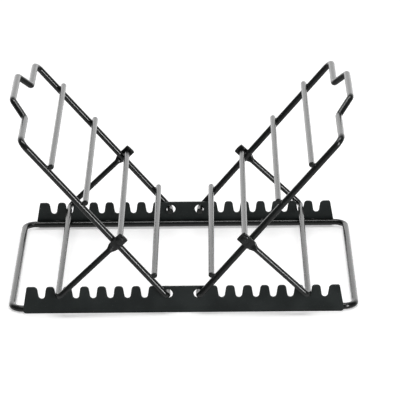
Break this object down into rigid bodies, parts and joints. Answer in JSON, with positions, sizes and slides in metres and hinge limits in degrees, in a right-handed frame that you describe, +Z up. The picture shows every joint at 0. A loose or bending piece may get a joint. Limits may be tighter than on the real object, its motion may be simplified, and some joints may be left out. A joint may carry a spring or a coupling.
{
  "type": "folding roasting rack",
  "caption": "Folding V-shaped roasting rack: a notched base carries hinged wire wings, each held up by a hinged wire prop whose crossbar lies in a notch.",
  "frame": {"origin": "bottom centre of the base, on the surface the rack stands on", "axes": "+X along the base, from the left wing to the right one; +Y from the front rack strip to the back one; +Z up"},
  "size_m": [0.3, 0.2232, 0.1722],
  "materials": {
    "coated_wire": "semi-gloss black non-stick coating on steel wire",
    "coated_sheet": "satin black non-stick coating on steel sheet"
  },
  "bodies": {
    "base": {"base_loop": "coated_wire", "front_rack_strip": "coated_sheet", "back_rack_strip": "coated_sheet"},
    "left_wing": {"left_wing_frame": "coated_wire", "left_upper_cross_rod": "coated_wire", "left_middle_cross_rod": "coated_wire", "left_hinge_rod": "coated_wire", "left_lower_cross_rod": "coated_wire"},
    "left_support": {"left_prop": "coated_wire"},
    "right_wing": {"right_wing_frame": "coated_wire", "right_upper_cross_rod": "coated_wire", "right_middle_cross_rod": "coated_wire", "right_hinge_rod": "coated_wire", "right_lower_cross_rod": "coated_wire"},
    "right_support": {"right_prop": "coated_wire"}
  },
  "joints": [
    {"name": "left_wing_hinge", "type": "hinge", "parent": "base", "child": "left_wing", "pos_m": [-0.0136, 0, 0.0166], "axis": [0, 1, 0], "range_deg": [0, 41]},
    {"name": "left_prop_hinge", "type": "hinge", "parent": "left_wing", "child": "left_support", "pos_m": [-0.05269, 0, 0.06989], "axis": [0, 1, 0], "range_deg": [0, 12]},
    {"name": "right_wing_hinge", "type": "hinge", "parent": "base", "child": "right_wing", "pos_m": [0.0136, 0, 0.0166], "axis": [0, -1, 0], "range_deg": [0, 41]},
    {"name": "right_prop_hinge", "type": "hinge", "parent": "right_wing", "child": "right_support", "pos_m": [0.05269, 0, 0.06989], "axis": [0, -1, 0], "range_deg": [0, 12]}
  ],
  "couplings": [
    {"joint": "left_prop_hinge", "follows": "left_wing_hinge", "ratio": 0.28},
    {"joint": "right_prop_hinge", "follows": "right_wing_hinge", "ratio": 0.28}
  ]
}
